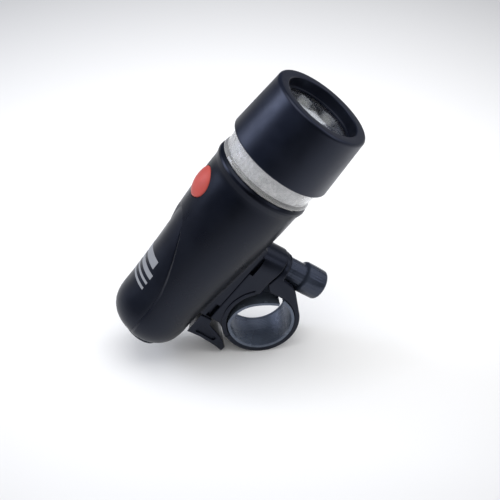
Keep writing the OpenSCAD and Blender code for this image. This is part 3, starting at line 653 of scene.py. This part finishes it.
class HEADLIGHT_OT_barrel(bpy.types.Operator):
    """Builds the barrel with its lip, foot, rail slot, pockets and tail boss, and the inlay on its back"""

    bl_idname = "headlight.barrel"
    bl_label = "Barrel"

    def execute(self, context):
        boss = bmesh.new()
        end = rounded([(BOSS_END, 0, 0), (BOSS_END, BOSS_R, 0.6), (BOSS_ROOT, BOSS_R, 0), (BOSS_ROOT, 0, 0)],
                      closed=False)
        lathe(boss, end, 96)
        bmesh.ops.translate(boss, verts=boss.verts, vec=(0, 0, -BOSS_DROP))

        slot = bmesh.new()
        sole, roof = -FOOT_DROP, -FOOT_DROP + 1.65
        bar(slot, [(-4.35, sole - 1.5), (4.35, sole - 1.5), (4.35, sole), (5.15, roof), (-5.15, roof),
                   (-4.35, sole)], FOOT_REAR - 1, 22.15 - RIM_AHEAD)
        catch = brick((-5.8 - RIM_AHEAD, -3.8, sole - 1), (-1.9 - RIM_AHEAD, 3.8, 19.4 - AXIS_RISE))
        windows = [brick((FOOT_REAR + 0.2, low, sole - 1), (FOOT_REAR + 6.2, high, sole + 2))
                   for low, high in ((-9, -5.85), (5.85, 9))]
        hole = drum(BUTTON_AT, 0, BUTTON_HOLE_R, 9, 22)
        pocket = panel_solid([(0.03, -0.75), (0.03, -0.02), (1.5, 1.15)])
        bm = carve(carve(self.turned(), [boss], "UNION"), [slot, catch, *windows, hole, pocket])
        piece("barrel_shell", bm, TORCH, "torch", finish("barrel"), ["barrel"])

        inlay = panel_solid([(-0.02, -0.72), (-0.02, -0.1), (-0.05, -0.03), (-0.11, 0.0)])
        piece("back_inlay", inlay, TORCH, "torch", finish("panel"), ["top_panel"])

        bars = bmesh.new()
        for start, stop, half in (
                (-57.5, -54.0, 27), (-61.0, -59.0, 34), (-63.5, -62.5, 34), (-66.0, -65.0, 34)):
            self.bar_print(bars, start, stop, math.radians(half))
        piece("inlay_bars", bars, TORCH, "torch", finish("print"))
        return {"FINISHED"}

    @staticmethod
    def turned():
        """Barrel with rounded tail, foot, lip and bore, before anything is cut into it."""
        turns = [math.radians(90 - 90 * k / 32) for k in range(33)]
        tail = [(TAIL_START - TAIL_LEN * math.sin(a) ** (2 / TAIL_POWER),
                 REAR_R * max(math.cos(a), 0.0) ** (2 / TAIL_POWER)) for a in turns[1:]]
        tail = [(TAIL_START - TAIL_LEN, 0.0)] + tail
        body = []
        x = TAIL_START + 1
        while x < TAPER_START - 0.3:
            if min(abs(x - FOOT_REAR), abs(x - FOOT_FRONT)) > 0.5:
                body.append(x)
            x += 1.0
        for end, way in ((FOOT_REAR, 1), (FOOT_FRONT, -1)):
            body += [end - way * 0.15, end + way * 0.001, end + way * 0.3]
        body = [(x, barrel_radius(x)) for x in sorted(body)]
        lip = [(p.x, p.y) for p in rounded([
            (-14.0, FRONT_R, 0), (-12.4, 17.42, 2.0), (-10.2, 18.05, 0.35), (-9.3, 17.95, 0.35),
            (-8.35, 17.1, 0.2), (-8.35, 15.2, 0.2), (-29, 15.2, 0), (-29, 12.4, 0), (-76, 12.4, 0),
            (-76, 0, 0)], closed=False, step=12)]
        outer = len(tail) + len(body)
        profile = tail + body + lip
        corner = math.degrees(math.atan2(HALF_WIDTH, FOOT_DROP))
        marks = {0.0, 180.0}
        near_corner = [corner + d for d in (-1.2, -0.4, 0, 0.4, 1, 2, 3, 4, 5, 6.5, 8)]
        for from_below in [k * 3 for k in range(60)] + near_corner:
            marks |= {180 - from_below, 180 + from_below}
        angles = [math.radians(a) for a in sorted(marks) if 0 <= a < 360]
        bm = bmesh.new()
        rings = []
        for i, (x, radius) in enumerate(profile):
            if radius < 1e-6:
                rings.append([bm.verts.new((x, 0, 0))])
                continue
            row = [foot_radius(x, radius, a) if i < outer else radius for a in angles]
            rings.append([bm.verts.new((x, r * math.sin(a), r * math.cos(a))) for r, a in zip(row, angles)])
        bridge(bm, rings)
        return bm

    @staticmethod
    def bar_print(bm, start, stop, half):
        """Lays one thin printed bar across the inlay."""
        across = 16
        grid = []
        for x, rise in ((start, -0.1), (start, 0.07), (stop, 0.07), (stop, -0.1)):
            radius = barrel_radius(x) - panel_step(x) + rise
            turns = [-half + 2 * half * k / across for k in range(across + 1)]
            grid.append([bm.verts.new((x, radius * math.sin(a), radius * math.cos(a))) for a in turns])
        for low, high in zip(grid, grid[1:] + grid[:1]):
            for k in range(across):
                bm.faces.new((low[k], low[k + 1], high[k + 1], high[k]))
        for k in (0, across):
            bm.faces.new([row[k] for row in grid])


class HEADLIGHT_OT_button(bpy.types.Operator):
    """Builds the soft push button, domed over the barrel's curve"""

    bl_idname = "headlight.button"
    bl_label = "Push button"

    def execute(self, context):
        rise = round(context.scene.headlight_sizes.button_rise / MM, 4)
        lift, sides = 0.1, 72
        crown = [(share, 0) for share in (0, 0.15, 0.3, 0.45, 0.58, 0.7, 0.8, 0.88, 0.94, 0.98)]
        wall = [(1.0, 0.05), (1.0, 0.6), (0.99, 1.2), (0.97, 1.8), (0.5, 1.9), (0, 1.95)]
        bm = bmesh.new()
        rings = []
        for share, drop in crown + wall:
            ring = []
            for k in range(sides if share else 1):
                a = 2 * math.pi * k / sides
                x, y = BUTTON_AT + share * BUTTON_R * math.cos(a), share * BUTTON_R * math.sin(a)
                skin = math.sqrt(barrel_radius(x) ** 2 - y * y)
                dome = rise * (1 - min(share, 1) ** 2.3) ** 0.8 if not drop else 0
                ring.append(bm.verts.new((x, y, skin + dome + lift - drop)))
            rings.append(ring)
        bridge(bm, rings)
        piece("button_cap", bm, TORCH, "push", finish("button"), ["button"], sharp=50)
        return {"FINISHED"}


class HEADLIGHT_OT_bracket(bpy.types.Operator):
    """Builds the bracket block: saddle, arch rim, screw boss and dovetail rail"""

    bl_idname = "headlight.bracket"
    bl_label = "Bracket block"

    def execute(self, context):
        top, low, saddle, front = 16.45, 7.7, 12.3, 25.1
        meet = math.degrees(math.asin(low / saddle))
        slit = slit_line(front, low)
        crown = [(front - 0.9 * k, 15.85, 0) for k in range(1, 3)] + [(22.6, 15.9, 0)]
        crown += [(21.4 - 0.8 * k, top, 0) for k in range(5)]
        rear = [(-8.3, top, 0.6), (-8.5, 12.2, 1.5), (*on_circle(13.7, 151), 0)]
        outline = rounded([(*slit[-1], 0.6), (front, 15.85, 0.8)] + crown + rear +
                          arc(saddle, 151, meet, 30) + [(*p, 0) for p in slit[:-1]])
        bm = bmesh.new()
        slab(bm, outline, HALF_WIDTH, 0.5)
        nose(bm, front)
        rim = bmesh.new()
        slab(rim, rounded(arc(14.1, 45, 150.6, 30) + arc(12.35, 150.6, 45, 30)), HALF_WIDTH + 0.35, 0.3)
        rail = bmesh.new()
        bar(rail, [(-4.2, top - 1), (4.2, top - 1), (4.2, 16.7), (5.0, 18.2), (-5.0, 18.2), (-4.2, 16.7)],
            3.1, 22.0)
        bm = carve(bm, [rim, rail], "UNION")
        bed = brick((-20, -3.8, 13.4), (3.1, 3.8, top + 1))
        reliefs = [brick((14.8, low, 14.8), (22.2, high, top + 1)) for low, high in ((-9, -5.8), (5.8, 9))]
        bm = carve(bm, [bed, *reliefs, drum(SCREW_AHEAD, 0, 2.75, 0, 15.6)])
        piece("bracket_saddle", bm, CLAMP, "bracket", finish("bracket"), ["bracket_block"])
        return {"FINISHED"}


class HEADLIGHT_OT_latch(bpy.types.Operator):
    """Builds the spring latch: tongue, tooth and the ribbed release tab behind the ring"""

    bl_idname = "headlight.latch"
    bl_label = "Latch"

    def execute(self, context):
        head, top = -8.9, 21.7
        outline = rounded([
            (head, 15.2, 0.4), (head, top, 0.4), (-17.5, top, 0.4), (-17.2, 14.8, 3), (-17.6, 10, 4),
            (-18.1, 6.3, 3), (-19.2, 3.6, 0.5), (-18.5, 3.05, 0.5), (-17.4, 3.05, 0.5), (-16.8, 3.7, 1.5),
            (-14.8, 6, 2), (-13.6, 8, 2), (-11.8, 12.7, 1.5), (-10.9, 14.6, 1)])

        def under_barrel(x, y, z):
            """Hollows the tab's top to the barrel and narrows its foot."""
            taper = 1 - 0.16 * max(0.0, min((7 - z) / 4, 1.0)) ** 2
            return x, y * taper, min(z, AXIS_RISE - math.sqrt(15.0 ** 2 - y * y))

        bm = bmesh.new()
        slab(bm, outline, 7.35, 0.35, 16, under_barrel)
        tools = []
        for side in (-1, 1):
            pit = bmesh.new()
            slab(pit, rounded([(-12.1, 17.4, 0.5), (-16.1, 17.4, 0.5), (-15.9, 14.8, 2), (-16.3, 9.2, 0.6),
                               (-14.9, 8.8, 0.6), (-13.1, 12.5, 2)]), 4, 0.1)
            bmesh.ops.translate(pit, verts=pit.verts, vec=(0, side * 10.5, 0))
            tools.append(pit)
        bm = carve(bm, tools)
        tongue = bmesh.new()
        slab(tongue, rounded([(-10, 15.1, 0), (2.95, 15.1, 0.2), (2.95, 16.3, 0.2), (-2.3, 16.3, 0.4),
                              (-3.9, 19.05, 0.3), (-5.4, 19.05, 0.2), (-5.4, 16.3, 0.3), (-10, 16.3, 0)]),
             3.4, 0.15)
        bm = carve(bm, [tongue], "UNION")
        piece("latch_tab", bm, CLAMP, "latch", finish("bracket"), ["latch_lever"])
        return {"FINISHED"}


class HEADLIGHT_OT_clamp(bpy.types.Operator):
    """Builds the clamp band with its screw ear, and the rubber shim whose free end sags across the bore"""

    bl_idname = "headlight.clamp"
    bl_label = "Clamp band and shim"

    def execute(self, context):
        inner, outer = 12.05, 13.95
        ear_top, ear_low, front = 7.45, 4.2, 24.6
        slit = [(*p, 0) for p in reversed(slit_line(front, ear_top))]
        under = [(19.6 + 0.7 * k, ear_low, 0) for k in range(7)]
        outline = rounded(
            arc(outer, 151.7, 318, 60) + [(16.4, -3.2, 3), (18.1, -0.3, 2.5), (18.8, ear_low, 0.6)] + under +
            [(front, ear_low, 0)] + slit + [(11.95, 5.2, 1.0)] + arc(inner, 357, 151.7, 70))
        bm = bmesh.new()
        slab(bm, outline, HALF_WIDTH, 0.4)
        nose(bm, front)
        recess = drum(SCREW_AHEAD, 0, 6.2, -20, ear_low)
        bm = carve(bm, [recess, drum(SCREW_AHEAD, 0, 3.0, -20, 20)])
        piece("clamp_strap", bm, CLAMP, "band", finish("bracket"), ["clamp_band"])

        # The shim is drawn as it hangs, its corners cut twice to smooth it, then turned into the clamp frame
        sag = [(6.6, 7.0), (5.0, 7.5), (2.0, 7.95), (-2.1, 8.0), (-5.2, 7.3), (-7.6, 6.05), (-9.4, 4.4),
               (-10.6, 2.6)]
        path = [Vector(p) for p in sag] + [Vector(on_circle(11.55, a)) for a in range(176, 411, 5)]
        for _ in range(2):
            cut = [p for a, b in zip(path, path[1:]) for p in (a * 0.75 + b * 0.25, a * 0.25 + b * 0.75)]
            path = [path[0]] + cut + [path[-1]]
        turn = Matrix(((math.cos(PITCH), math.sin(PITCH)), (-math.sin(PITCH), math.cos(PITCH))))
        path = [turn @ p for p in path]
        bm = self.strip(path, context.scene.headlight_sizes.shim_ribs)
        piece("rubber_shim", bm, CLAMP, "band", finish("shim"), ["shim"])
        return {"FINISHED"}

    @staticmethod
    def strip(path, ribs):
        """Sweeps the shim's section along its path: plain outside, fine ribs inside, a lip on both edges."""
        half, thick = 7.85, 0.42
        section = [(-half, -thick), (-half, thick + 0.15), (-half + 0.7, thick + 0.15), (-half + 0.9, thick)]
        pitch = (2 * half - 1.8) / ribs
        for k in range(ribs):
            y = -half + 0.9 + pitch * k
            section += [(y + pitch * 0.25, thick - 0.1), (y + pitch * 0.75, thick - 0.1), (y + pitch, thick)]
        section += [(half - 0.7, thick + 0.15), (half, thick + 0.15), (half, -thick)]
        bm = bmesh.new()
        rings = []
        for i, here in enumerate(path):
            way = (path[min(i + 1, len(path) - 1)] - path[max(i - 1, 0)]).normalized()
            inward = Vector((-way.y, way.x))
            rings.append([bm.verts.new((here.x + inward.x * h, y, here.y + inward.y * h))
                          for y, h in section])
        bridge(bm, rings)
        bm.faces.new(rings[0])
        bm.faces.new(rings[-1])
        return bm


class HEADLIGHT_OT_thumb_screw(bpy.types.Operator):
    """Builds the fluted thumb knob and its washer, and finishes the screw and nut"""

    bl_idname = "headlight.thumb_screw"
    bl_label = "Thumb screw"

    def execute(self, context):
        flutes = context.scene.headlight_sizes.knob_flutes

        def gripped(x, radius, a):
            """Fine flutes round the neck, deeper ones round the grip that fade at both ends."""
            if radius < 3:
                return radius
            depth = 0.10 if x < 3.6 else 0.16 * max(0.0, min((x - 4.2) / 1.5, (11.6 - x) / 1.0, 1.0))
            return radius - depth * (0.5 + 0.5 * math.cos(flutes * a)) ** 3

        bm = bmesh.new()
        profile = rounded([
            (-3.3, 2.5, 0.1), (-3.3, 4.4, 0.4), (3.6, 4.4, 0.6), (4.1, 5.6, 0.9), (8.0, 5.62, 0),
            (12.45, 5.5, 1.3), (12.45, 3.6, 0.3), (12.2, 3.3, 0.3), (12.2, 0, 0), (9.2, 0, 0), (9.2, 2.5, 0)])
        lathe(bm, profile, flutes * 8, closed=True, shape=gripped)
        piece("thumb_grip", bm, SCREW, "screw", finish("knob"), ["thumb_knob"])

        bm = bmesh.new()
        ring = rounded([(-4.05, 2.75, 0.1), (-4.05, 5.0, 0.15), (-3.45, 5.0, 0.15), (-3.45, 2.75, 0.1)])
        lathe(bm, ring, 96, closed=True)
        piece("washer_ring", bm, SCREW, "washer", finish("washer"), ["washer"])
        dress(["clamp_screw"], "steel")
        dress(["clamp_nut"], "brass")
        return {"FINISHED"}


class HEADLIGHT_OT_inner_parts(bpy.types.Operator):
    """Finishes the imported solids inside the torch"""

    bl_idname = "headlight.inner_parts"
    bl_label = "Inner parts"

    def execute(self, context):
        dress(["led_board", "driver_board", "switch_board"], "board")
        dress(["board_pins", "contact_strip"], "brass")
        dress(["front_spring", "tail_spring", "carrier_contacts", "switch"], "steel")
        dress(["driver_parts", "switch_plunger", "battery_carrier"], "inner")
        dress(["cells"], "cell")
        dress(["o_ring"], "seal")
        return {"FINISHED"}


class HEADLIGHT_OT_stage(bpy.types.Operator):
    """Sets the white floor, soft lamps, dark flag behind the camera, world and camera"""

    bl_idname = "headlight.stage"
    bl_label = "Stage"

    def execute(self, context):
        scene = context.scene
        scene.view_settings.view_transform = "Standard"
        self.floor(scene)
        self.world(scene)
        self.lamps(scene)
        self.camera(scene)
        return {"FINISHED"}

    @staticmethod
    def sheet(name, corners, material, scene):
        """Adds one flat four-cornered sheet to the stage."""
        mesh = bpy.data.meshes.new(name)
        mesh.from_pydata(corners, [], [(0, 1, 2, 3)])
        mesh.materials.append(material)
        obj = bpy.data.objects.new(name, mesh)
        scene.collection.objects.link(obj)
        return obj

    def floor(self, scene):
        """Large plain sheet with a faint unevenness and a painted pool of light round the object, greyer
        towards its edges; the object's shadow falls on it.
        """
        material, tree, shader, place = blank("Paper, matt white")
        white = scene.headlight_colours.floor[:3]
        drift = add(tree, "ShaderNodeTexNoise", {"Vector": place, "Scale": per_metre(220.0), "Detail": 2.0})
        tone = add(tree, "ShaderNodeValToRGB", {"Fac": drift.outputs["Fac"]},
                   [(0.0, [*[c * 0.97 for c in white], 1.0]), (1.0, [*white, 1.0])])
        # Painted light: a pool of light painted into the floor's colour round the object, greying towards the
        # sheet's edges
        spot = add(tree, "ShaderNodeMapping",
                   {"Vector": place, "Location": (0.0, -0.12, 0.0), "Scale": (2.0, 2.0, 0.0)})
        near = add(tree, "ShaderNodeTexGradient", {"Vector": spot.outputs["Vector"]},
                   gradient_type="SPHERICAL")
        painted_light_pool = add(tree, "ShaderNodeValToRGB", {"Fac": near.outputs["Fac"]},
                   [(0.52, linear("#BEBEBF")), (0.8, linear("#FFFFFF"))])
        both = add(tree, "ShaderNodeMix", {0: 1.0, 6: tone.outputs["Color"], 7: painted_light_pool.outputs["Color"]},
                   data_type="RGBA", blend_type="MULTIPLY")
        feed(tree, shader, {"Base Color": both.outputs[2], "Roughness": 0.7, "Specular IOR Level": 0.2})
        near_edge, reach, z = -0.26, 6.0, FLOOR_Z * MM - 0.00005
        corners = [(-reach, near_edge, z), (reach, near_edge, z), (reach, reach, z), (-reach, reach, z)]
        self.sheet("studio_floor", corners, material, scene)

    @staticmethod
    def world(scene):
        """White to the eye and through glass, even fill on the object, and a dim bluish room in its gloss."""
        world = bpy.data.worlds.new("Studio surround")
        world.use_nodes = True
        tree = world.node_tree
        tree.nodes.clear()
        path = add(tree, "ShaderNodeLightPath").outputs
        seen = add(tree, "ShaderNodeMath", {0: path["Is Camera Ray"], 1: path["Is Transmission Ray"]},
                   operation="MAXIMUM")
        white = add(tree, "ShaderNodeMapRange", {"Value": seen.outputs[0], "To Min": 0.68, "To Max": 1.0})
        plain = add(tree, "ShaderNodeBackground",
                    {"Color": linear("#FFFFFF"), "Strength": white.outputs["Result"]})
        room = add(tree, "ShaderNodeBackground", {"Color": linear("#C2D2FF"), "Strength": 0.2})
        gloss = add(tree, "ShaderNodeMath", {0: path["Is Glossy Ray"], 1: path["Is Transmission Ray"]},
                    operation="SUBTRACT", use_clamp=True)
        light = add(tree, "ShaderNodeMixShader",
                    {0: gloss.outputs[0], 1: plain.outputs[0], 2: room.outputs[0]})
        add(tree, "ShaderNodeOutputWorld", {"Surface": light.outputs[0]})
        scene.world = world

    def lamps(self, scene):
        """Soft lamps over the table and at its sides, and a dark flag on the camera's side for the gloss."""
        target = Vector((0, 0, 0.04))
        for name, spot, size, power, tint in (
                ("overhead_softbox", (0.02, 0.0, 0.8), 0.7, 2.9, "#FFFFFF"),
                ("right_softbox", (0.9, 0.2, 0.6), 0.6, 1.6, "#F6F8FF"),
                ("left_softbox", (-0.8, 0.28, 0.5), 0.5, 3.3, "#E6EDFF"),
                ("front_right_softbox", (0.95, -0.5, 0.42), 0.3, 0.9, "#F6F8FF")):
            lamp = bpy.data.lights.new(name, "AREA")
            lamp.size = size
            lamp.energy = power
            lamp.color = linear(tint)[:3]
            obj = bpy.data.objects.new(name, lamp)
            obj.location = spot
            obj.rotation_euler = (target - Vector(spot)).to_track_quat("-Z", "Y").to_euler()
            scene.collection.objects.link(obj)
        material, tree, shader, place = blank("Cloth, matt black flag")
        weave = add(tree, "ShaderNodeTexNoise", {"Vector": place, "Scale": per_metre(5.0)})
        tone = add(tree, "ShaderNodeValToRGB", {"Fac": weave.outputs["Fac"]},
                   [(0.0, linear("#101010")), (1.0, linear("#181818"))])
        feed(tree, shader, {"Base Color": tone.outputs["Color"], "Roughness": 0.9})
        left, right, y, low, high = -0.55, 0.9, -0.6, -0.5, 1.3
        flag = self.sheet("black_flag", [(left, y, low), (right, y, low), (right, y, high), (left, y, high)],
                          material, scene)
        flag.visible_camera = False
        flag.visible_diffuse = False
        flag.visible_shadow = False
        flag.visible_transmission = False

    @staticmethod
    def camera(scene):
        """Looks down at the light across its axis, with a long lens."""
        lens = bpy.data.cameras.new("photo_camera")
        lens.sensor_width = 36
        lens.lens = 109.37
        lens.clip_start = 0.01
        obj = bpy.data.objects.new("photo_camera", lens)
        obj.location = (-0.0553, -0.4170, 0.3474)
        obj.rotation_euler = (math.radians(52.627), 0, math.radians(-7.156))
        scene.collection.objects.link(obj)
        scene.camera = obj


class HEADLIGHT_PT_panel(bpy.types.Panel):
    """Lists the headlight's settings and pieces"""

    bl_idname = "HEADLIGHT_PT_panel"
    bl_label = "Bicycle headlight"
    bl_space_type = "VIEW_3D"
    bl_region_type = "UI"
    bl_category = "Headlight"

    def draw(self, context):
        for group in (context.scene.headlight_sizes, context.scene.headlight_colours):
            for key in group.__annotations__:
                self.layout.prop(group, key)
        for operator in OPERATORS:
            self.layout.operator(operator.bl_idname)


OPERATORS = (
    HEADLIGHT_OT_stage,
    HEADLIGHT_OT_head_cap,
    HEADLIGHT_OT_light_unit,
    HEADLIGHT_OT_barrel,
    HEADLIGHT_OT_button,
    HEADLIGHT_OT_bracket,
    HEADLIGHT_OT_latch,
    HEADLIGHT_OT_clamp,
    HEADLIGHT_OT_thumb_screw,
    HEADLIGHT_OT_inner_parts,
)
CLASSES = (HeadlightSizes, HeadlightColours, *OPERATORS, HEADLIGHT_PT_panel)


def register():
    for item in CLASSES:
        bpy.utils.register_class(item)
    bpy.types.Scene.headlight_sizes = PointerProperty(type=HeadlightSizes)
    bpy.types.Scene.headlight_colours = PointerProperty(type=HeadlightColours)


def unregister():
    del bpy.types.Scene.headlight_sizes
    del bpy.types.Scene.headlight_colours
    for item in reversed(CLASSES):
        bpy.utils.unregister_class(item)


def main():
    register()
    for operator in OPERATORS:
        group, name = operator.bl_idname.split(".")
        getattr(getattr(bpy.ops, group), name)()


if __name__ == "__main__":
    main()
